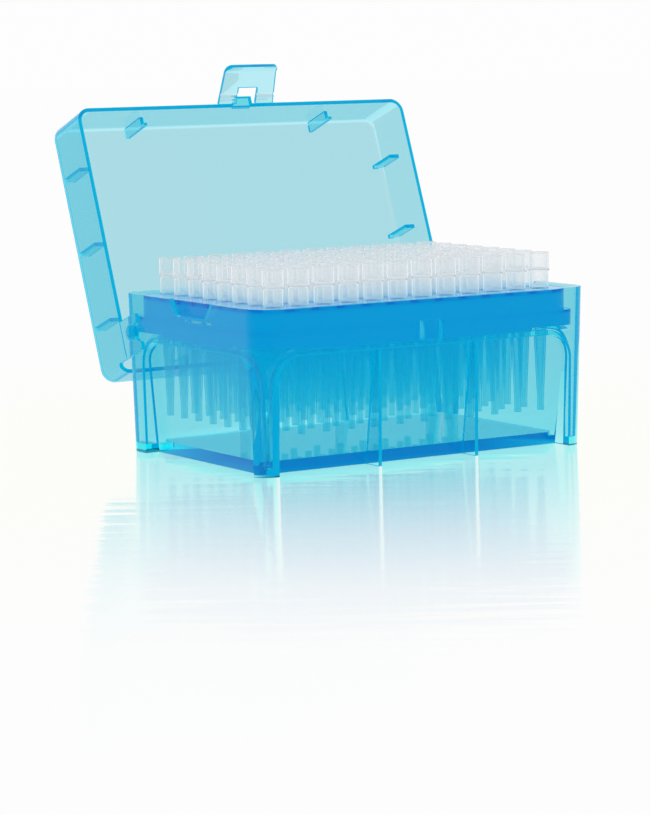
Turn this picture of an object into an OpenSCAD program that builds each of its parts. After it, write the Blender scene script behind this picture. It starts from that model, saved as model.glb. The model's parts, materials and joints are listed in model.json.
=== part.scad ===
// Rack box of filter pipette tips: a clear blue polypropylene base with a snap-hinged lid,
// a living-hinge latch flap, a deck with one hole for each tip, the tips and their filters.
// X runs along the long side, Y from front to back, Z up. The origin is the middle of the
// base's footprint, on the table. The lid is drawn open, resting on its stop.

/* [Tip array] */
// Tips along the long side
columns = 12; // [8:1:12]
// Tips along the short side
rows = 8; // [6:1:8]
// Distance between neighbouring tips
pitch = 9; // [8.6:0.1:9.6]

/* [Tip] */
// Whole length of a tip
tip_length = 50.3; // [44:0.1:52]
// Height of a tip above the deck that it hangs from
hub_height = 11.5; // [9:0.1:14]
// Height of the thicker collar at the top of a tip
collar_height = 5.4; // [3:0.1:7]
// Radius of the collar
collar_r = 3.3; // [3.1:0.05:3.6]
// Radius of the hub, between the collar and the deck
hub_r = 3.05; // [2.95:0.05:3.2]
// Radius of the shank just under the deck's top face
shank_r = 2.67; // [2.5:0.01:2.75]
// Radius of the tip's end
point_r = 1.1; // [0.9:0.05:1.4]
// Length of the straight end
point_length = 4; // [1:0.5:8]
// Wall thickness of a tip
tip_wall = 0.55; // [0.4:0.05:0.65]
// Height of the raised ring under the collar
ring_height = 0.6; // [0.3:0.1:1]
// How far the ring stands out from the collar
ring_lip = 0.15; // [0.05:0.05:0.3]
// Height of a filter
filter_height = 6; // [3:0.5:8]
// Depth of a filter's top below the deck's top face
filter_depth = 2; // [1:0.5:6]
// Gap round a filter in its tip
filter_clearance = 0.03; // [0.01:0.01:0.1]

/* [Base] */
// Height of the base, from the table to its rim
base_height = 50.6; // [48:0.1:60]
// Wall thickness of the base
base_wall = 1.5; // [1.2:0.1:1.8]
// Thickness of the base's floor
base_floor = 2.6; // [1.5:0.1:3]
// Bevel across the corners of the raised part of the floor
floor_bevel = 7; // [4:0.5:12]
// Room between the last column's axis and the rim's outer face
end_margin = 12.1; // [11.8:0.1:16]
// Room between the last row's axis and the rim's outer face
side_margin = 10.4; // [10.2:0.1:14]
// How much narrower each side of the base is at the bottom
base_draft = 1; // [0:0.1:1.5]
// Outer radius of the base's upright corners
base_corner_r = 6.5; // [5:0.1:8]
// Height of the feet under the floor
foot_height = 1.2; // [0.5:0.1:2]
// Height of the full-width band above the recessed panels
rim_band = 14.6; // [13.5:0.1:17]
// Radius of the recessed panels' upper corners
recess_r = 8; // [4:0.5:10]
// Depth of the long panels at their top
long_recess_top = 2.8; // [2:0.1:4]
// Depth of the long panels at the table
long_recess_foot = 7.6; // [5:0.1:7.8]
// Width of the corner column beside a long panel
long_column = 7.6; // [7:0.1:10]
// Depth of the short panels at their top
short_recess_top = 3.6; // [2:0.1:4]
// Depth of the short panels at the table
short_recess_foot = 4.9; // [4:0.1:6]
// Width of the front column beside a short panel
short_column_front = 5.5; // [5.2:0.1:8]
// Width of the hinge column beside a short panel
short_column_back = 12.3; // [12:0.1:15]
// Distance of each gusset from the middle of a long panel
gusset_x = 18; // [12:0.5:26]
// Thickness of a gusset
gusset_t = 1.2; // [0.8:0.1:2]
// Width of the finger notch at the rim
notch_w = 25.4; // [18:0.2:30]
// Depth of the finger notch
notch_depth = 5.1; // [3:0.1:6]
// How much narrower each side of the notch is at its bottom
notch_slope = 2.8; // [0:0.1:4]
// Radius of the notch's lower corners
notch_r = 2; // [0.5:0.1:2.4]
// Distance of the notch from the middle, towards the front
notch_shift = 2; // [0:0.5:6]

/* [Deck] */
// Depth of the deck's top face below the rim
deck_drop = 0.6; // [0.3:0.1:1.5]
// Thickness of the deck's plate
deck_plate = 1.5; // [1:0.1:2.5]
// Thickness of the deck's walls
deck_wall = 1.3; // [1:0.1:1.6]
// Height of the deck's upper, narrower part
deck_upper = 6.6; // [5.5:0.1:7.5]
// Step between the deck's upper and lower parts
deck_step = 0.9; // [0.5:0.1:1.5]
// Corner radius of the deck's lower part
deck_corner_r = 7.5; // [5:0.5:9]
// Corner radius of the deck's upper part
deck_upper_r = 10; // [6:0.5:11]
// Length of the slots at the foot of the deck's short upper walls
deck_slot_w = 18; // [8:1:24]
// Height of those slots
deck_slot_h = 1; // [0.6:0.1:1.5]
// Height of the seats under the deck
deck_seat = 1; // [0.5:0.1:1.5]
// Length of the seats along the long sides
deck_seat_long = 81; // [30:1:90]
// Length of the seats along the short sides
deck_seat_short = 40; // [20:1:46]
// Gap between the deck and the base's walls
deck_clearance = 0.35; // [0.2:0.05:0.5]
// Gap round a tip in its hole
hole_clearance = 0.13; // [0.05:0.01:0.2]
// Wall thickness of the sleeve under each hole
sleeve_wall = 1; // [0.6:0.1:1.1]
// Length of the sleeve under each hole
sleeve_length = 4.5; // [2:0.5:8]

/* [Lid] */
// Wall thickness of the lid
lid_wall = 1.25; // [1:0.05:1.4]
// How far the closed lid reaches down over the base
lid_overlap = 6.5; // [5:0.1:8]
// Gap between the lid's side and back walls and the base's rim
lid_clearance = 0.35; // [0.3:0.05:0.5]
// Wider gap at the front, where the lid's rim swings over the base's rim
lid_front_clearance = 0.85; // [0.85:0.05:1.2]
// Headroom over the tips under the closed lid
headroom = 1.1; // [0.8:0.1:3]
// Outer radius of the lid's upright corners
lid_corner_r = 4.5; // [3.5:0.1:6]
// Radius of the lid's edge between its walls and its top
lid_edge_r = 2; // [1.4:0.1:3]
// Radius where the lid's rim steps up at its back wall
back_rim_r = 1.8; // [1:0.1:2.4]
// Angle of the open lid from closed
open_angle = 111; // [100:1:115]
// Thickness of the lid's ribs
rib_t = 1.3; // [0.8:0.1:2]
// Distance between the ribs on the short walls
rib_pitch = 25.5; // [20:0.5:27]
// Distance of the ribs on the long walls from the middle
rib_x = 36; // [20:1:40]
// Depth of the ribs on the short walls and on the back wall
rib_depth = 3.7; // [2:0.1:4]
// How far the hooks of the front ribs reach below the base's rim
hook_depth = 1.7; // [1:0.1:2.5]
// Extra room under the back ribs, which swing over the base's rim
back_rib_room = 2; // [2:0.1:4]
// Gap between a rib and whatever it stands next to
rib_clearance = 0.3; // [0.2:0.05:0.4]

/* [Hinge] */
// Distance of the hinge pins from the base's back face
hinge_back = 8.5; // [8:0.1:9.5]
// Depth of the hinge pins below the base's rim
hinge_drop = 12.2; // [11.8:0.1:13]
// Radius of a hinge pin
pin_r = 2.45; // [2:0.05:2.6]
// Straight length of a hinge pin outside the base's wall
pin_length = 2.2; // [1.9:0.1:3]
// Height of a hinge pin's domed end
pin_dome = 0.8; // [0.4:0.1:1.2]
// Gap round a hinge pin in its ear
pin_clearance = 0.08; // [0.02:0.01:0.1]
// Thickness of the lid's ears
ear_t = 1.15; // [1:0.05:1.3]
// Reach of an ear in front of its pin
ear_front = 5.2; // [5:0.1:5.6]
// Reach of an ear behind its pin
ear_back = 6.9; // [6.7:0.1:7.1]
// Depth of an ear's two lobes below its pin
ear_drop = 3.7; // [3.4:0.1:4.2]
// Radius of an ear's lobes, which clip over the pin
ear_lobe_r = 1.45; // [1.2:0.05:1.6]
// Share of the pin's radius that an ear's mouth lets through
ear_mouth = 0.72; // [0.6:0.02:0.9]
// Gap between an ear and the base's wall at the rim
ear_clearance = 0.15; // [0.1:0.05:0.25]

/* [Latch] */
// Width of the flap at its hinge
latch_w = 21; // [17:0.5:24]
// Width of the flap at its free end
latch_tip_w = 19.3; // [15:0.1:21]
// Length of the flap
latch_length = 14.1; // [12:0.1:18]
// Thickness of the flap
latch_t = 1.2; // [1:0.1:1.4]
// Width of the slot that takes the lugs
slot_w = 7.4; // [7.2:0.1:9]
// Length of the slot
slot_length = 5.7; // [5.2:0.1:7]
// Height of the lip along the flap's free end
lip_height = 2; // [1:0.1:2.5]
// Thickness of the lip
lip_t = 1.7; // [1:0.1:2.5]
// Radius of the flap's free corners
latch_corner_r = 1.5; // [0.5:0.1:2.5]
// Angle of the flap from hanging straight down, as drawn
latch_angle = 50; // [0:1:90]
// Width of both lugs
lug_w = 6.6; // [5:0.1:6.8]
// How far the base's catch lug stands out
catch_lug = 2.4; // [2:0.1:2.6]
// Depth of the ramp on the catch lug
catch_ramp = 1; // [0.4:0.1:1.4]
// How far the lid's thumb lug stands out
thumb_lug = 2.5; // [1.5:0.1:3.5]
// Height of the lid's thumb lug
thumb_lug_height = 2.9; // [2:0.1:3.5]
// Gap between the latch, its lugs and the rims
latch_clearance = 0.3; // [0.2:0.05:0.5]

/* [Hidden] */
function label(number) = str(number < 10 ? "0" : "", number);

$fn = 48;
corner_fn = 32;
eps = 0.01;
past = 5;
blue = [0.35, 0.78, 0.90, 0.55];
deep_blue = [0.10, 0.55, 0.80, 0.80];
clear_white = [0.86, 0.91, 0.95, 0.70];
filter_white = [0.97, 0.98, 0.99];

half_x = (columns - 1) / 2 * pitch + end_margin;
half_y = (rows - 1) / 2 * pitch + side_margin;
recess_top = base_height - rim_band;
ledge_z = recess_top + base_wall;
deck_top = base_height - deck_drop;
collar_z = deck_top + hub_height - collar_height;
tip_top = deck_top + hub_height;
tip_end = tip_top - tip_length;
hole_r = shank_r + hole_clearance;

deck_half_x = half_x - base_wall - base_draft * rim_band / base_height - deck_clearance;
deck_half_y = half_y - base_wall - base_draft * rim_band / base_height - deck_clearance;

hinge_y = half_y - hinge_back;
hinge_z = base_height - hinge_drop;
pin_root_x = side_face(half_x, hinge_z);
lid_rim_z = base_height - lid_overlap;
lid_top_z = tip_top + headroom + lid_wall;
lid_half_x = half_x + lid_clearance + lid_wall;
lid_back = half_y + lid_clearance + lid_wall;
lid_front = half_y + lid_front_clearance + lid_wall;
ear_inner_x = half_x + ear_clearance;

// The open lid stops where the outer edge of its back rim meets the base's drafted back face.
stop_gap = 0.05;
draft_slope = base_draft / base_height;
lid_reach = lid_back - hinge_y;
back_rim_z = hinge_z
    + (side_face(half_y, hinge_z) + stop_gap - hinge_y
       - lid_reach * (cos(open_angle) + draft_slope * sin(open_angle)))
      / (sin(open_angle) - draft_slope * cos(open_angle));

latch_y = -(lid_front - latch_clearance);
latch_z = lid_rim_z - latch_clearance - latch_t / 2;
catch_top = lid_rim_z - latch_clearance;
catch_bottom = latch_z - slot_length + latch_clearance;

// Distance of a drafted outer face of the base from the middle, at height z
function side_face(half, z) = half - base_draft * (1 - z / base_height);

// Middle of the n-th of count places, one pitch apart
function place(n, count) = (n - (count + 1) / 2) * pitch;

// Rectangle with round corners, from its half sizes
module round_rect(hx, hy, r) {
    square([2 * (hx - r), 2 * hy], center = true);
    square([2 * hx, 2 * (hy - r)], center = true);
    for (sx = [-1, 1], sy = [-1, 1]) translate([sx * (hx - r), sy * (hy - r)]) circle(r);
}

// Closed wall that follows a round rectangle
module round_ring(hx, hy, r, wall) {
    difference() {
        round_rect(hx, hy, r);
        round_rect(hx - wall, hy - wall, r - wall);
    }
}

// Extrudes a (Y, Z) outline along X, centred on x
module along_x(x, length) {
    translate([x - length / 2, 0, 0]) rotate([90, 0, 90]) linear_extrude(length) children();
}

// Extrudes an (X, Z) outline along Y, centred on y
module along_y(y, length) {
    translate([0, y + length / 2, 0]) rotate([90, 0, 0]) linear_extrude(length) children();
}

// ---- base ----

// Drafted block with round upright corners, inset by the given wall
module base_block(z0, z1, inset) {
    hull()
        for (z = [z0, z1], sx = [-1, 1], sy = [-1, 1])
            translate([
                sx * (side_face(half_x, z) - base_corner_r),
                sy * (side_face(half_y, z) - base_corner_r),
                z - (z == z1 ? eps : 0)
            ]) cylinder(r = base_corner_r - inset, h = eps, $fn = corner_fn);
}

// Panel outline: square feet, round upper corners
module arch(left, right, top, r) {
    translate([left, -past]) square([right - left, top - r + past]);
    translate([left + r, -past]) square([right - left - 2 * r, top + past]);
    for (x = [left + r, right - r]) translate([x, top - r]) circle(r);
}

// Space cut away in front of a wall that stands at y = -half. The panel behind it slopes,
// and grow makes it larger all round, to shape the wall's inner side.
module recess(half, left, right, depth_top, depth_foot, grow) {
    intersection() {
        along_y(-half, half_y)
            arch(left - grow, right + grow, recess_top + grow, recess_r + grow);
        along_x(0, 4 * half_x)
            polygon([
                [-half - past, -past],
                [-half - past, recess_top + past],
                [panel_y(half, depth_top, depth_foot, recess_top + past) + grow, recess_top + past],
                [panel_y(half, depth_top, depth_foot, -past) + grow, -past]
            ]);
    }
}

// Outer face of a sloping panel at height z
function panel_y(half, depth_top, depth_foot, z) =
    let (at_top = -side_face(half, recess_top) + depth_top, at_foot = -side_face(half, 0) + depth_foot)
    at_foot + (at_top - at_foot) * z / recess_top;

// The four recesses
module recesses(grow) {
    for (turn = [0, 180])
        rotate(turn)
            recess(half_y, -half_x + long_column, half_x - long_column,
                   long_recess_top, long_recess_foot, grow);
    for (side = [0, 1])
        mirror([side, 0, 0])
            rotate(-90)
                recess(half_x, -half_y + short_column_back, half_y - short_column_front,
                       short_recess_top, short_recess_foot, grow);
}

// Web that stiffens a long panel, its edge in the plane of the rim band
module gusset() {
    top = recess_top + base_wall / 2;
    inside = base_wall / 2;
    along_x(gusset_x, gusset_t)
        polygon([
            [-side_face(half_y, foot_height), foot_height],
            [-side_face(half_y, top), top],
            [panel_y(half_y, long_recess_top, long_recess_foot, top) + inside, top],
            [panel_y(half_y, long_recess_top, long_recess_foot, foot_height) + inside, foot_height]
        ]);
}

// Hollow under the floor, which leaves a foot at each corner
module between_feet() {
    translate([-half_x + long_column, -half_y - past, -past])
        cube([2 * (half_x - long_column), 2 * (half_y + past), past + foot_height]);
    translate([-half_x - past, -half_y + short_column_front, -past])
        cube([2 * (half_x + past), 2 * half_y - short_column_front - short_column_back, past + foot_height]);
}

// Raised part of the floor, over the hollow under it, with its corners cut off
module raised_floor() {
    left = -half_x + short_recess_foot;
    front = -half_y + long_recess_foot;
    rear = half_y - short_column_back;
    linear_extrude(foot_height + base_floor)
        polygon([
            [left + floor_bevel, front], [-left - floor_bevel, front],
            [-left, front + floor_bevel], [-left, rear - floor_bevel],
            [-left - floor_bevel, -front], [left + floor_bevel, -front],
            [left, rear - floor_bevel], [left, front + floor_bevel]
        ]);
}

// Finger notches through both short walls
module finger_notch() {
    bottom = base_height - notch_depth;
    half_top = notch_w / 2;
    half_bottom = half_top - notch_slope;
    along_x(0, 3 * half_x)
        translate([-notch_shift, 0])
            hull() {
                for (s = [-1, 1]) translate([s * (half_bottom - notch_r), bottom + notch_r]) circle(notch_r);
                translate([-half_top, base_height]) square([2 * half_top, past]);
            }
}

// Hinge pin with a domed end, standing on the right-hand wall
module hinge_pin() {
    inside = base_wall / 2;
    dome_r = (pow(pin_r, 2) + pow(pin_dome, 2)) / (2 * pin_dome);
    translate([pin_root_x - inside, hinge_y, hinge_z])
        rotate([0, 90, 0])
            rotate_extrude()
                intersection() {
                    square([pin_r, inside + pin_length + pin_dome]);
                    translate([0, inside + pin_length + pin_dome - dome_r]) circle(dome_r);
                }
}

// Catch for the latch, sloped so that the flap rides over it
module catch() {
    root = -side_face(half_y, catch_bottom) + base_wall / 2;
    front = -half_y - catch_lug;
    along_x(0, lug_w)
        polygon([
            [root, catch_bottom],
            [front, catch_bottom],
            [front, catch_top - 2 * catch_ramp],
            [front + catch_ramp, catch_top],
            [root, catch_top]
        ]);
}

module base() {
    color(blue) {
        difference() {
            base_block(0, base_height, 0);
            difference() {
                base_block(base_floor, base_height + eps, base_wall);
                recesses(base_wall);
                raised_floor();
            }
            recesses(0);
            between_feet();
            finger_notch();
        }
        for (turn = [0, 180], side = [0, 1]) rotate(turn) mirror([side, 0, 0]) gusset();
        for (side = [0, 1]) mirror([side, 0, 0]) hinge_pin();
        catch();
    }
}

// ---- deck ----

// One circle for each tip
module at_tips() {
    for (c = [1 : columns], r = [1 : rows]) translate([place(c, columns), place(r, rows)]) children();
}

module deck() {
    upper_x = deck_half_x - deck_step;
    upper_y = deck_half_y - deck_step;
    upper_z = deck_top - deck_upper;
    flange_z = ledge_z + deck_seat;
    color(deep_blue) {
        translate([0, 0, deck_top - deck_plate])
            linear_extrude(deck_plate)
                difference() {
                    round_rect(upper_x, upper_y, deck_upper_r);
                    at_tips() circle(hole_r, $fn = 24);
                }
        // upper wall, slotted at its foot over the middle of both short sides
        difference() {
            translate([0, 0, upper_z])
                linear_extrude(deck_upper - deck_plate)
                    round_ring(upper_x, upper_y, deck_upper_r, deck_wall);
            translate([-half_x, -notch_shift - deck_slot_w / 2, upper_z])
                cube([2 * half_x, deck_slot_w, deck_slot_h]);
        }
        translate([0, 0, upper_z - deck_wall])
            linear_extrude(deck_wall)
                difference() {
                    round_rect(deck_half_x, deck_half_y, deck_corner_r);
                    round_rect(upper_x - deck_wall, upper_y - deck_wall, deck_upper_r - deck_wall);
                }
        translate([0, 0, flange_z])
            linear_extrude(upper_z - deck_wall - flange_z)
                round_ring(deck_half_x, deck_half_y, deck_corner_r, deck_wall);
        // seats that stand on the ledge over the recessed panels
        translate([0, 0, ledge_z])
            linear_extrude(deck_seat)
                intersection() {
                    round_ring(deck_half_x, deck_half_y, deck_corner_r, deck_wall);
                    union() {
                        square([deck_seat_long, 3 * half_y], center = true);
                        translate([0, -notch_shift]) square([3 * half_x, deck_seat_short], center = true);
                    }
                }
        translate([0, 0, deck_top - deck_plate - sleeve_length])
            linear_extrude(sleeve_length)
                at_tips() difference() {
                    circle(hole_r + sleeve_wall, $fn = 24);
                    circle(hole_r, $fn = 24);
                }
    }
}

// ---- tips and filters ----

// Outer radius of a tip's shank at height z
function shank_at(z) =
    point_r + (shank_r - point_r) * (z - tip_end - point_length) / (deck_top - tip_end - point_length);

// One moulded tip: straight end, tapered shank, hub on the deck, ring and collar
module tip() {
    ring_r = collar_r + ring_lip;
    bore_z = tip_end + point_length;
    rotate_extrude($fn = 32)
        polygon([
            [point_r - tip_wall, tip_end],
            [point_r, tip_end],
            [point_r, bore_z],
            [shank_r, deck_top],
            [hub_r, deck_top],
            [hub_r, collar_z - ring_height],
            [ring_r, collar_z - ring_height / 2],
            [ring_r, collar_z],
            [collar_r, collar_z],
            [collar_r, tip_top],
            [collar_r - tip_wall, tip_top],
            [hub_r - tip_wall, deck_top],
            [shank_r - tip_wall, deck_top - filter_depth / 2],
            [point_r - tip_wall, bore_z]
        ]);
}

// Porous plug that fills the upper part of a tip's bore
module filter() {
    top = deck_top - filter_depth;
    gap = tip_wall + filter_clearance;
    bore_top = deck_top - filter_depth / 2;
    bore_foot = tip_end + point_length;
    rise = (shank_r - point_r) / (bore_top - bore_foot);
    translate([0, 0, top - filter_height])
        cylinder(
            r1 = point_r - gap + rise * (top - filter_height - bore_foot),
            r2 = point_r - gap + rise * (top - bore_foot),
            h = filter_height,
            $fn = 24
        );
}

module tips_column(c) {
    color(clear_white)
        for (r = [1 : rows]) translate([place(c, columns), place(r, rows), 0]) tip();
}

module filters_column(c) {
    color(filter_white)
        for (r = [1 : rows]) translate([place(c, columns), place(r, rows), 0]) filter();
}

// ---- lid, in its closed place ----

// Turns the closed lid's shapes to the open lid's place
module opened() {
    translate([0, hinge_y, hinge_z])
        rotate([-open_angle, 0, 0])
            translate([0, -hinge_y, -hinge_z]) children();
}

// Upright corner of the lid with its round top edge
module lid_corner(r, edge, z0, z1) {
    translate([0, 0, z0])
        rotate_extrude($fn = corner_fn) {
            square([r, z1 - z0 - edge]);
            square([r - edge, z1 - z0]);
            intersection() {
                translate([r - edge, z1 - z0 - edge]) circle(edge, $fn = 24);
                square([r, z1 - z0]);
            }
        }
}

// Solid lid shape, inset by the given wall
module lid_block(inset, z0, z1) {
    r = lid_corner_r - inset;
    hull()
        for (sx = [-1, 1], y = [-lid_front + lid_corner_r, lid_back - lid_corner_r])
            translate([sx * (lid_half_x - lid_corner_r), y, 0])
                lid_corner(r, max(lid_edge_r - inset, 0.1), z0, z1);
}

// Outline of an ear round the hinge pin: a clip that opens downwards
module ear_outline() {
    root = lid_rim_z - hinge_z + lid_wall;
    front = -ear_front + ear_lobe_r;
    back = ear_back - ear_lobe_r;
    throat = pin_r * ear_mouth;
    difference() {
        union() {
            polygon([[-ear_front, -ear_drop], [ear_back, -ear_drop], [ear_back, root], [-ear_front, root]]);
            for (y = [front, back]) translate([y, -ear_drop]) circle(ear_lobe_r);
        }
        polygon([
            [-throat, 0],
            [throat, 0],
            [throat, -throat],
            [back - ear_lobe_r, -ear_drop],
            [back - ear_lobe_r, -past],
            [front + ear_lobe_r, -past],
            [front + ear_lobe_r, -ear_drop],
            [-throat, -throat]
        ]);
    }
}

module ear() {
    difference() {
        along_x(ear_inner_x + ear_t / 2, ear_t) translate([hinge_y, hinge_z]) ear_outline();
        translate([ear_inner_x - 1, hinge_y, hinge_z])
            rotate([0, 90, 0]) cylinder(r = pin_r + pin_clearance, h = ear_t + 2);
    }
}

// Rib on a wall whose inner face stands at -wall_face, drawn in (Y, Z) from its foot up
module plain_rib(wall_face, foot_z) {
    top = lid_top_z - lid_wall / 2;
    translate([-wall_face - lid_wall / 2, foot_z])
        square([lid_wall / 2 + rib_depth, top - foot_z]);
}

// The same with a hook, which reaches down between the base's wall and the deck
module hooked_rib(wall_face, foot_z) {
    tip = -deck_half_y + deck_step - rib_clearance;
    heel = -side_face(half_y, base_height - hook_depth) + base_wall + rib_clearance;
    translate([heel, base_height - hook_depth]) square([tip - heel, hook_depth + past]);
    translate([-wall_face - lid_wall / 2, foot_z])
        square([tip + wall_face + lid_wall / 2, lid_top_z - lid_wall / 2 - foot_z]);
}

module lid_ribs() {
    foot_z = base_height + rib_clearance;
    side_wall = half_x + lid_clearance;
    front_wall = half_y + lid_front_clearance;
    back_wall = half_y + lid_clearance;
    for (side = [0, 1]) mirror([side, 0, 0]) {
        for (n = [-1, 0, 1])
            rotate(-90) along_x(n * rib_pitch, rib_t) plain_rib(side_wall, foot_z);
        along_x(rib_x, rib_t) hooked_rib(front_wall, foot_z);
        mirror([0, 1, 0]) along_x(rib_x, rib_t) plain_rib(back_wall, foot_z + back_rib_room);
    }
}

// Space under the back wall's rim, which is cut higher than the rest to clear the open lid
module back_rim_cut() {
    start = hinge_y + ear_back;
    rise = back_rim_z - lid_rim_z + past;
    along_x(0, 3 * half_x)
        translate([start, lid_rim_z - past]) {
            translate([back_rim_r, 0]) square([lid_back, rise]);
            square([lid_back, rise - back_rim_r]);
            translate([back_rim_r, rise - back_rim_r]) circle(back_rim_r);
        }
}

module thumb_lug() {
    along_x(0, lug_w)
        translate([-lid_front - thumb_lug, lid_rim_z])
            square([thumb_lug + lid_wall / 2, thumb_lug_height]);
}

module lid() {
    color(blue)
        opened() {
            difference() {
                lid_block(0, lid_rim_z, lid_top_z);
                lid_block(lid_wall, lid_rim_z - past, lid_top_z - lid_wall);
                back_rim_cut();
            }
            for (side = [0, 1]) mirror([side, 0, 0]) ear();
            lid_ribs();
            thumb_lug();
        }
}

// ---- latch, drawn hanging straight down from its hinge ----

// Face of the flap in (X, Z), from its hinge line down
module latch_outline() {
    difference() {
        hull() {
            translate([-latch_w / 2, -eps]) square([latch_w, eps]);
            for (s = [-1, 1])
                translate([s * (latch_tip_w / 2 - latch_corner_r), -latch_length + latch_corner_r])
                    circle(latch_corner_r);
        }
        translate([-slot_w / 2, -slot_length]) square([slot_w, slot_length + 1]);
    }
}

module latch() {
    arm_w = (latch_w - slot_w) / 2;
    color(blue)
        opened()
            translate([0, latch_y, latch_z])
                rotate([-latch_angle, 0, 0]) {
                    along_y(0, latch_t) latch_outline();
                    // rounded roots of the two arms
                    for (s = [-1, 1])
                        translate([s * (slot_w + arm_w) / 2, 0, 0])
                            rotate([0, 90, 0]) cylinder(d = latch_t, h = arm_w, center = true);
                    // lip that the finger pulls
                    along_y(lip_height / 2, latch_t + lip_height)
                        intersection() {
                            latch_outline();
                            translate([-latch_w / 2, -latch_length]) square([latch_w, lip_t]);
                        }
                }
}

base();
deck();
lid();
latch();
for (c = [1 : columns]) {
    tips_column(c);
    filters_column(c);
}
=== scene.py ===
import bpy
import bmesh
import json
from math import cos, pi, radians, sin, sqrt
from mathutils import Matrix, Vector


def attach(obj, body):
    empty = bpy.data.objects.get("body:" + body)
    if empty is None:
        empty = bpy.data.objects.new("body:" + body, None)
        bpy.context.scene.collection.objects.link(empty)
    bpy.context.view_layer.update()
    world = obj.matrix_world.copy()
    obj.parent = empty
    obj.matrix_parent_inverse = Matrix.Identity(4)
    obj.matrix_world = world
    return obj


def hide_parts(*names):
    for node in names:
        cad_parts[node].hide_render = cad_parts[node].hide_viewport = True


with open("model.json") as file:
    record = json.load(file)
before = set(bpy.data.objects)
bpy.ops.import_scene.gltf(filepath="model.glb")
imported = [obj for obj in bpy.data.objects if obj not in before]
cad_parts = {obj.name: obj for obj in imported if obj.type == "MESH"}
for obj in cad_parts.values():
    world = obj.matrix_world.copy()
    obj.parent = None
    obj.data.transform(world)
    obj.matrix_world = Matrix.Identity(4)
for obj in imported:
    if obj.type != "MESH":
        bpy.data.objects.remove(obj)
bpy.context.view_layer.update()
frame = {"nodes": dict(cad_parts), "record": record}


# ---- camera ----
# A long lens from the front left, a little higher than the open lid, as such a product
# is shown on white.
scene = bpy.context.scene
lens = bpy.data.cameras.new("camera")
lens.sensor_width = 36
lens.lens = 130
lens.clip_end = 20
camera = bpy.data.objects.new("camera", lens)
scene.collection.objects.link(camera)
turned_right = radians(32.28)
looking_down = radians(7.23)
rolled = radians(-0.93)
camera.matrix_world = (
    Matrix.Translation((-0.507, -0.784, 0.1312))
    @ Matrix.Rotation(-turned_right, 4, "Z")
    @ Matrix.Rotation(pi / 2 - looking_down, 4, "X")
    @ Matrix.Rotation(rolled, 4, "Z")
)
scene.camera = camera


# ---- tent ----
# An even white tent of cloth all round. It lights the box at one plain level, and looks
# paper white where it is seen directly, in something glossy or through the clear plastic.
def linear(code):
    """The hex code of an sRGB colour as linear red, green and blue, with full alpha."""
    channels = [int(code[i:i + 2], 16) / 255 for i in (1, 3, 5)]
    return [c / 12.92 if c < 0.04045 else ((c + 0.055) / 1.055) ** 2.4 for c in channels] + [1]


def add_node(tree, kind, settings=None, links=None):
    """Adds a node with its settings and constants, and feeds its inputs from other sockets."""
    node = tree.nodes.new(kind)
    for name, value in (settings or {}).items():
        if isinstance(name, int) or name in node.inputs:
            node.inputs[name].default_value = value
        else:
            setattr(node, name, value)
    for socket, source in (links or {}).items():
        tree.links.new(source, node.inputs[socket])
    return node


scene.view_settings.view_transform = "Standard"
scene.cycles.max_bounces = 24
scene.cycles.transmission_bounces = 24
scene.cycles.transparent_max_bounces = 256
scene.cycles.use_denoising = True
# Among so many white tips, light beyond the first bounce is taken as even.
scene.cycles.use_fast_gi = True
scene.cycles.ao_bounces_render = 1

mm = 0.001
tent_level = 0.84
paper_level = 0.985
tent = bpy.data.worlds.new("white tent")
tent.light_settings.distance = 0.5 * mm
tent.use_nodes = True
tree = tent.node_tree
tree.nodes.clear()
sight = add_node(tree, "ShaderNodeLightPath")
shown = add_node(tree, "ShaderNodeMath", {"operation": "MAXIMUM"},
                 {0: sight.outputs["Is Camera Ray"], 1: sight.outputs["Is Glossy Ray"]})
level = add_node(tree, "ShaderNodeMapRange", {"To Min": tent_level, "To Max": paper_level},
                 {"Value": shown.outputs[0]})
light = add_node(tree, "ShaderNodeBackground", {"Color": linear("#FFFFFF")},
                 {"Strength": level.outputs[0]})
add_node(tree, "ShaderNodeOutputWorld", links={"Surface": light.outputs[0]})
scene.world = tent


# ---- sheet ----
# A wide sheet of white acrylic under the box, drawn flat between rollers. It mirrors
# what stands on it, and the mirror image fades out with distance.
def new_material(name):
    material = bpy.data.materials.new(name)
    material.use_nodes = True
    material.node_tree.nodes.clear()
    return material, material.node_tree


def set_ramp(node, stops):
    """Sets a Color Ramp's stops, each a position with a hex colour or with a plain share."""
    elements = node.color_ramp.elements
    first, *between, last = [
        (position, linear(value) if isinstance(value, str) else (value, value, value, 1))
        for position, value in stops
    ]
    for element, (position, colour) in zip(elements, (first, last)):
        element.position = position
        element.color = colour
    for position, colour in between:
        elements.new(position).color = colour


sheet_half = 6
form = bmesh.new()
bmesh.ops.create_grid(form, x_segments=1, y_segments=1, size=sheet_half)
sheet_mesh = bpy.data.meshes.new("acrylic_sheet")
form.to_mesh(sheet_mesh)
form.free()
sheet = bpy.data.objects.new("acrylic_sheet", sheet_mesh)
scene.collection.objects.link(sheet)

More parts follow.
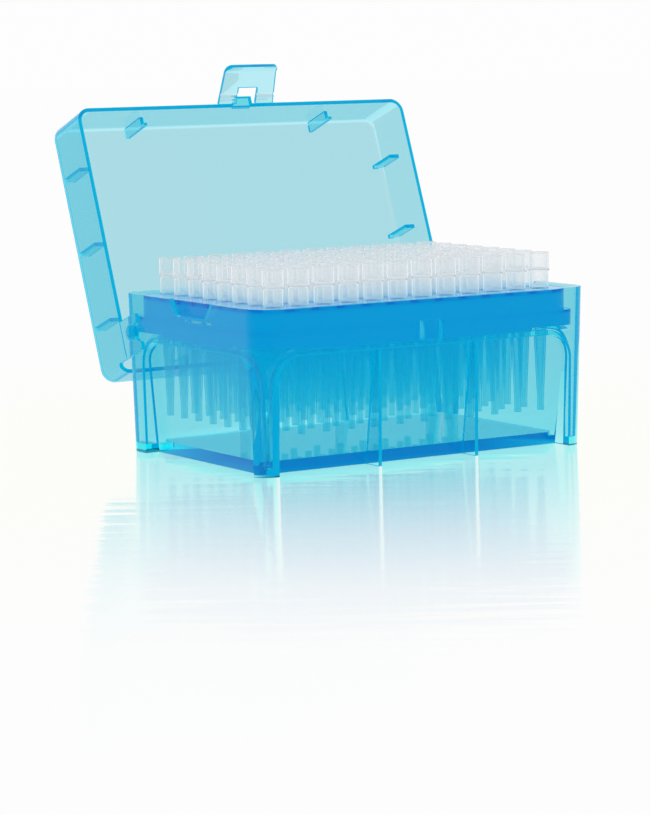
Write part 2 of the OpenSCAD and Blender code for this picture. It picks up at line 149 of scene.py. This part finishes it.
# White to the eye, with a polished face. The share of the mirror falls off from the box
# over half a metre. The rollers left long shallow ripples, which lie across the view and
# break up the mirror image.
gloss_reach = 0.5
ripple_length, ripple_width = 70 * mm, 9 * mm
acrylic, tree = new_material("white acrylic, rolled and polished")
place = add_node(tree, "ShaderNodeTexCoord")
away = add_node(tree, "ShaderNodeVectorMath", {"operation": "LENGTH"}, {0: place.outputs["Object"]})
share = add_node(tree, "ShaderNodeMapRange", {"From Max": gloss_reach},
                 {"Value": away.outputs["Value"]})
gloss = add_node(tree, "ShaderNodeValToRGB", {}, {0: share.outputs[0]})
set_ramp(gloss, [(0.14, 0.70), (0.32, 0.38), (0.48, 0.14), (0.62, 0.03), (0.90, 0)])
drawn = add_node(tree, "ShaderNodeMapping", {
    "vector_type": "TEXTURE", "Rotation": (0, 0, -turned_right),
    "Scale": (ripple_length, ripple_width, 1),
}, {"Vector": place.outputs["Object"]})
wave = add_node(tree, "ShaderNodeTexNoise", {"Scale": 1, "Detail": 2},
                {"Vector": drawn.outputs[0]})
ripples = add_node(tree, "ShaderNodeBump", {"Strength": 0.30, "Distance": 1 * mm},
                   {"Height": wave.outputs["Fac"]})
white = add_node(tree, "ShaderNodeBsdfDiffuse", {"Color": linear("#FEFEFE")})
# A little glow makes the sheet paper white. Under the box it also lights the clear floor.
sight = add_node(tree, "ShaderNodeLightPath")
under_box = add_node(tree, "ShaderNodeMapRange", {
    "From Min": 50 * mm, "From Max": 75 * mm, "To Min": 0.62, "To Max": 0,
}, {"Value": away.outputs["Value"]})
through_box = add_node(tree, "ShaderNodeMath", {"operation": "MULTIPLY"},
                       {0: under_box.outputs[0], 1: sight.outputs["Is Transmission Ray"]})
lift = add_node(tree, "ShaderNodeMath", {"operation": "MULTIPLY_ADD", 1: 0.15},
                {0: sight.outputs["Is Camera Ray"], 2: through_box.outputs[0]})
glow = add_node(tree, "ShaderNodeEmission", {"Color": linear("#FFFFFF")},
                {"Strength": lift.outputs[0]})
paper_white = add_node(tree, "ShaderNodeAddShader", {}, {0: white.outputs[0], 1: glow.outputs[0]})
mirror = add_node(tree, "ShaderNodeBsdfGlossy", {"Roughness": 0.08, "Color": linear("#FEFFF7")},
                  {"Normal": ripples.outputs[0]})
surface = add_node(tree, "ShaderNodeMixShader", {},
                   {0: gloss.outputs["Color"], 1: paper_white.outputs[0], 2: mirror.outputs[0]})
add_node(tree, "ShaderNodeOutputMaterial", links={"Surface": surface.outputs[0]})
sheet_mesh.materials.append(acrylic)


# ---- base ----
# The box itself, one injection moulding in clear blue polypropylene, polished in the
# mould. Its walls are 1.5 mm thick, and between the feet its bottom just clears the table.
sharp_angle = radians(40)


def moulding(node, name, material):
    """A copy of a CAD node, its flat faces whole and its round stretches smooth, in a material."""
    mesh = bpy.data.meshes.new(name)
    form = bmesh.new()
    form.from_mesh(frame["nodes"][node].data)
    bmesh.ops.remove_doubles(form, verts=form.verts, dist=0.002 * mm)
    bmesh.ops.dissolve_limit(
        form, angle_limit=radians(0.3), verts=form.verts, edges=form.edges, delimit=set()
    )
    for face in form.faces:
        face.smooth = True
    for edge in form.edges:
        edge.smooth = len(edge.link_faces) != 2 or edge.calc_face_angle() < sharp_angle
    form.to_mesh(mesh)
    form.free()
    mesh.materials.append(material)
    piece = bpy.data.objects.new(name, mesh)
    scene.collection.objects.link(piece)
    # Wide faces lead the shading, so that they look flat right up to their rounded edges.
    shading = piece.modifiers.new("weighted_normals", "WEIGHTED_NORMAL")
    shading.keep_sharp = True
    shading.weight = 100
    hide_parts(node)
    return piece


def settle(tree, surface, colour, patience):
    """Ends a ray caught inside the plastic, or turned too often, in the glow of scattered light."""
    sight = add_node(tree, "ShaderNodeLightPath")
    side = add_node(tree, "ShaderNodeNewGeometry")
    caught = add_node(tree, "ShaderNodeMath", {"operation": "MULTIPLY"},
                      {0: sight.outputs["Is Reflection Ray"], 1: side.outputs["Backfacing"]})
    spent = add_node(tree, "ShaderNodeMath", {"operation": "GREATER_THAN", 1: patience},
                     {0: sight.outputs["Ray Depth"]})
    either = add_node(tree, "ShaderNodeMath", {"operation": "MAXIMUM"},
                      {0: caught.outputs[0], 1: spent.outputs[0]})
    glow = add_node(tree, "ShaderNodeEmission", {"Color": linear(colour), "Strength": tent_level})
    return add_node(tree, "ShaderNodeMixShader", {},
                    {0: either.outputs[0], 1: surface.outputs[0], 2: glow.outputs[0]})


# Clear plastic: its faces bend what is seen through them, its edges gather a deeper blue,
# and its colour deepens with thickness. The index is lower than the plastic's own 1.49,
# so that the walls throw less light back. The swells of the mould barely bend the light.
def clear_polypropylene(name, face_colour, loss_per_mm, glow_colour, patience, roughness):
    """Clear plastic by the colour its faces let through and the loss in each millimetre."""
    swell = 16.7 * mm
    material, tree = new_material(name)
    place = add_node(tree, "ShaderNodeTexCoord")
    flow = add_node(tree, "ShaderNodeTexNoise", {"Scale": 1 / swell, "Detail": 2},
                    {"Vector": place.outputs["Object"]})
    swells = add_node(tree, "ShaderNodeBump", {"Strength": 0.01, "Distance": 2 * mm},
                      {"Height": flow.outputs["Fac"]})
    surface = add_node(tree, "ShaderNodeBsdfPrincipled", {
        "Base Color": linear(face_colour), "Roughness": roughness, "IOR": 1.29,
        "Specular Tint": linear("#7CF9FF"), "Transmission Weight": 1,
    }, {"Normal": swells.outputs["Normal"]})
    most = max(loss_per_mm)
    body = add_node(tree, "ShaderNodeVolumeAbsorption", {
        "Color": (*[1 - loss / most for loss in loss_per_mm], 1), "Density": most / mm,
    })
    add_node(tree, "ShaderNodeOutputMaterial", links={
        "Surface": settle(tree, surface, glow_colour, patience).outputs[0],
        "Volume": body.outputs[0],
    })
    material.cycles.emission_sampling = "NONE"
    return material


base = moulding("base", "base_moulding", clear_polypropylene(
    "moulded polypropylene, clear blue", face_colour="#FFF2F9",
    loss_per_mm=(0.41, 0.010, 0.003), glow_colour="#00C0EF", patience=8, roughness=0.02,
))
# The bottom between the feet, 1.2 mm up in the CAD, comes down to just above the table, so
# that the blue reaches down to the box's own mirror image.
table_gap = 0.05 * mm
bottom = min(v.co.z for v in base.data.vertices if v.co.z > 1 * mm)
for vertex in base.data.vertices:
    if abs(vertex.co.z - bottom) < 0.01 * mm:
        vertex.co.z = table_gap
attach(base, "box")


# ---- deck ----
# The perforated insert that carries the tips, one moulding in a deeper blue
# polypropylene. Its faces are a little cloudy, so what stands behind it is hardly seen.
deck = moulding("deck", "deck_moulding", clear_polypropylene(
    "moulded polypropylene, deep blue", face_colour="#3FE7F9",
    loss_per_mm=(1.5, 0.06, 0.012), glow_colour="#00BCF1", patience=2, roughness=0.10,
))
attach(deck, "box")


# ---- tips ----
# Natural polypropylene tips, thin and slightly milky, moulded in one. Each hangs by its
# hub from the deck.
colour_ramp_foot, colour_ramp_top = 12 * mm, 61 * mm
collar_foot, collar_top = 55.5 * mm, 61.5 * mm
milky, tree = new_material("moulded polypropylene, natural")
place = add_node(tree, "ShaderNodeTexCoord")
spot = add_node(tree, "ShaderNodeSeparateXYZ", {}, {0: place.outputs["Object"]})
height = add_node(tree, "ShaderNodeMapRange", {"From Min": colour_ramp_foot, "From Max": colour_ramp_top},
                  {"Value": spot.outputs["Z"]})
# Below the deck the tips are painted cyan, a painted blue light for the light that the walls let
# in. Above it they keep their own milky white.
own_white_and_painted_blue = add_node(tree, "ShaderNodeValToRGB", {}, {0: height.outputs[0]})
set_ramp(own_white_and_painted_blue, [
    (0.00, "#38EAFC"), (0.35, "#00DDF8"), (0.72, "#00CEF6"),
    (0.79, "#E5F7FF"), (0.88, "#F9FDFF"), (1.00, "#FCFDFF"),
])
# The clear share is coloured by height too: a faint painted blue below the deck for the walls' blue
# light, and the plastic's own near-white above it.
see_through_and_painted_blue = add_node(tree, "ShaderNodeValToRGB", {}, {0: height.outputs[0]})
set_ramp(see_through_and_painted_blue, [(0.00, "#F3FDFF"), (0.30, "#E7FCFF"), (0.72, "#E5FCFF"), (0.80, "#FEFFFF")])
# The wall looks milkier where it is seen edge on. On the ring and at the rim this is painted: bands
# of extra milk by height make painted highlight lines there.
edge = add_node(tree, "ShaderNodeLayerWeight", {"Blend": 0.5})
haze_share = add_node(tree, "ShaderNodeMapRange", {"To Min": 0.15, "To Max": 0.40},
                      {"Value": edge.outputs["Facing"]})
collar = add_node(tree, "ShaderNodeMapRange", {"From Min": collar_foot, "From Max": collar_top},
                  {"Value": spot.outputs["Z"]})
painted_ring_lines = add_node(tree, "ShaderNodeValToRGB", {}, {0: collar.outputs[0]})
set_ramp(painted_ring_lines, [(0.05, 0), (0.09, 0.75), (0.14, 0.75), (0.18, 0), (0.94, 0), (0.98, 0.5)])
milk = add_node(tree, "ShaderNodeMath", {"operation": "ADD", "use_clamp": True},
                {0: haze_share.outputs[0], 1: painted_ring_lines.outputs["Color"]})
clear = add_node(tree, "ShaderNodeBsdfTransparent", {}, {"Color": see_through_and_painted_blue.outputs["Color"]})
front = add_node(tree, "ShaderNodeBsdfDiffuse", {}, {"Color": own_white_and_painted_blue.outputs["Color"]})
back = add_node(tree, "ShaderNodeBsdfTranslucent", {}, {"Color": own_white_and_painted_blue.outputs["Color"]})
haze = add_node(tree, "ShaderNodeMixShader", {0: 0.5}, {1: front.outputs[0], 2: back.outputs[0]})
body = add_node(tree, "ShaderNodeMixShader", {},
                {0: milk.outputs[0], 1: clear.outputs[0], 2: haze.outputs[0]})
# The gloss takes the same colours, so below the deck its reflection is painted blue as well.
sheen = add_node(tree, "ShaderNodeFresnel", {"IOR": 1.12})
gloss = add_node(tree, "ShaderNodeBsdfGlossy", {"Roughness": 0.15},
                 {"Color": own_white_and_painted_blue.outputs["Color"]})
surface = add_node(tree, "ShaderNodeMixShader", {},
                   {0: sheen.outputs[0], 1: body.outputs[0], 2: gloss.outputs[0]})
add_node(tree, "ShaderNodeOutputMaterial", links={"Surface": surface.outputs[0]})
columns = range(1, 13)
for column in columns:
    tips = moulding(f"tips_column_{column:02d}", f"tips_{column:02d}", milky)
    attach(tips, "box")


# ---- filters ----
# Plugs of sintered polyethylene, white and matt as fine chalk. One is pressed into the
# upper part of each tip, just below the deck's top face.
grain = 1 / 3 * mm
porous, tree = new_material("sintered polyethylene")
place = add_node(tree, "ShaderNodeTexCoord")
grains = add_node(tree, "ShaderNodeTexVoronoi", {"Scale": 1 / grain},
                  {"Vector": place.outputs["Object"]})
pits = add_node(tree, "ShaderNodeBump", {"Strength": 0.4, "Distance": 0.2 * mm},
                {"Height": grains.outputs["Distance"]})
surface = add_node(tree, "ShaderNodeBsdfPrincipled", {
    "Base Color": linear("#E4F1FC"), "Roughness": 0.8, "Specular IOR Level": 0.2,
}, {"Normal": pits.outputs[0]})
add_node(tree, "ShaderNodeOutputMaterial", links={"Surface": surface.outputs[0]})
for column in columns:
    plug = frame["nodes"][f"filters_column_{column:02d}"]
    plug.data.materials.clear()
    plug.data.materials.append(porous)


# ---- lid ----
# One moulding in a clear blue polypropylene like the base's, with walls 1.25 mm thick.
# Its two ears snap over the base's hinge pins.
pale_blue = clear_polypropylene(
    "moulded polypropylene, pale blue", face_colour="#FFF3F9",
    loss_per_mm=(0.52, 0.032, 0.010), glow_colour="#00D1F6", patience=8, roughness=0.02,
)
lid = moulding("lid", "lid_moulding", pale_blue)
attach(lid, "lid")


# ---- latch ----
# The flap at the lid's front rim, moulded in one with it. Two short arms, with creases and
# a thin film across them, carry the plate, whose free end turns up for the finger.
root_w, free_w = 21 * mm, 19.3 * mm
length, thickness = 14.1 * mm, 1.2 * mm
slot_w, slot_length = 7.4 * mm, 5.7 * mm
corner_r, corner_steps = 1.7 * mm, 6
creases, crease_half, crease_depth = (0.9 * mm, 1.9 * mm), 0.2 * mm, 0.2 * mm
film, film_slope, film_depth = (3.0 * mm, 3.6 * mm), 0.3 * mm, 0.4 * mm
curl_start, curl_step, curl_angle = 11.3 * mm, 0.4 * mm, radians(30)
plate_middle = 8.5 * mm
rim_r = 0.15 * mm

# The plate's cross rows, by their distance from its root: round each crease and the film,
# at the end of the slot, in the middle of the plate, through the curl and round the corners.
rows = [0]
for crease in creases:
    rows += [crease - crease_half, crease, crease + crease_half]
rows += [film[0] - film_slope, *film, film[1] + film_slope, slot_length, plate_middle]
rows += [curl_start + curl_step * step for step in range(-2, 3)]
rows += [length - corner_r * (1 - sin(pi / 2 * step / corner_steps))
         for step in range(corner_steps + 1)]


def half_width(s):
    """Half the plate's width at a distance from its root, with its free corners rounded."""
    in_corner = max(0, s - (length - corner_r))
    corner = corner_r - sqrt(corner_r ** 2 - min(in_corner, corner_r) ** 2)
    return (root_w + (free_w - root_w) * s / length) / 2 - corner


def front_depth(s):
    """How far the front face stands from the middle of the plate."""
    if s in creases:
        return thickness / 2 - crease_depth
    if s in film:
        return thickness / 2 - film_depth
    return thickness / 2


# A flat grid, 3 faces wide with a row for each distance, loses the slot and gets its
# thickness. Each vertex then goes to its place on the bent plate, which hangs from its
# hinge line.
last_row = len(rows) - 1
form = bmesh.new()
bmesh.ops.create_grid(form, x_segments=3, y_segments=last_row, size=1)


def row_at(y):
    """The row, counted from the root, at a height on the grid."""
    return (y + 1) / 2 * last_row


slot = [face for face in form.faces if abs(face.calc_center_median().x) < 0.1
        and row_at(face.calc_center_median().y) < rows.index(slot_length)]
bmesh.ops.delete(form, geom=slot, context="FACES")
raised = bmesh.ops.extrude_face_region(form, geom=form.faces[:])["geom"]
front_side = {part for part in raised if isinstance(part, bmesh.types.BMVert)}
lid_hinge, latch_hinge = frame["record"]["behaviour"]["joints"]
turned = lid_hinge["range_deg"][1] + latch_hinge["range_deg"][1]
hung = Matrix.Translation(latch_hinge["pos_m"]) @ Matrix.Rotation(-radians(turned), 4, "X")
for vertex in form.verts:
    s = rows[round(row_at(vertex.co.y))]
    half = slot_w / 2 if abs(vertex.co.x) < 0.5 else half_width(s)
    across = Vector((half if vertex.co.x > 0 else -half, 0, 0))
    curled = max(0, s - curl_start)
    middle = Vector((0, curled * sin(curl_angle), -(s - curled) - curled * cos(curl_angle)))
    out = Vector((0, cos(curl_angle), sin(curl_angle))) if curled else Vector((0, 1, 0))
    depth = front_depth(s) if vertex in front_side else -thickness / 2
    vertex.co = hung @ (across + middle + out * depth)
form.normal_update()
bmesh.ops.recalc_face_normals(form, faces=form.faces)
rims = [edge for edge in form.edges if edge.calc_face_angle() > radians(50)]
bmesh.ops.bevel(form, geom=rims, offset=rim_r, offset_type="OFFSET", affect="EDGES",
                segments=2, profile=0.5, material=-1, clamp_overlap=True)
for face in form.faces:
    face.smooth = True
for edge in form.edges:
    edge.smooth = edge.calc_face_angle() < sharp_angle
flap_mesh = bpy.data.meshes.new("latch_flap")
form.to_mesh(flap_mesh)
form.free()
flap_mesh.materials.append(pale_blue)
latch = bpy.data.objects.new("latch_flap", flap_mesh)
scene.collection.objects.link(latch)
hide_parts("latch")
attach(latch, "latch")
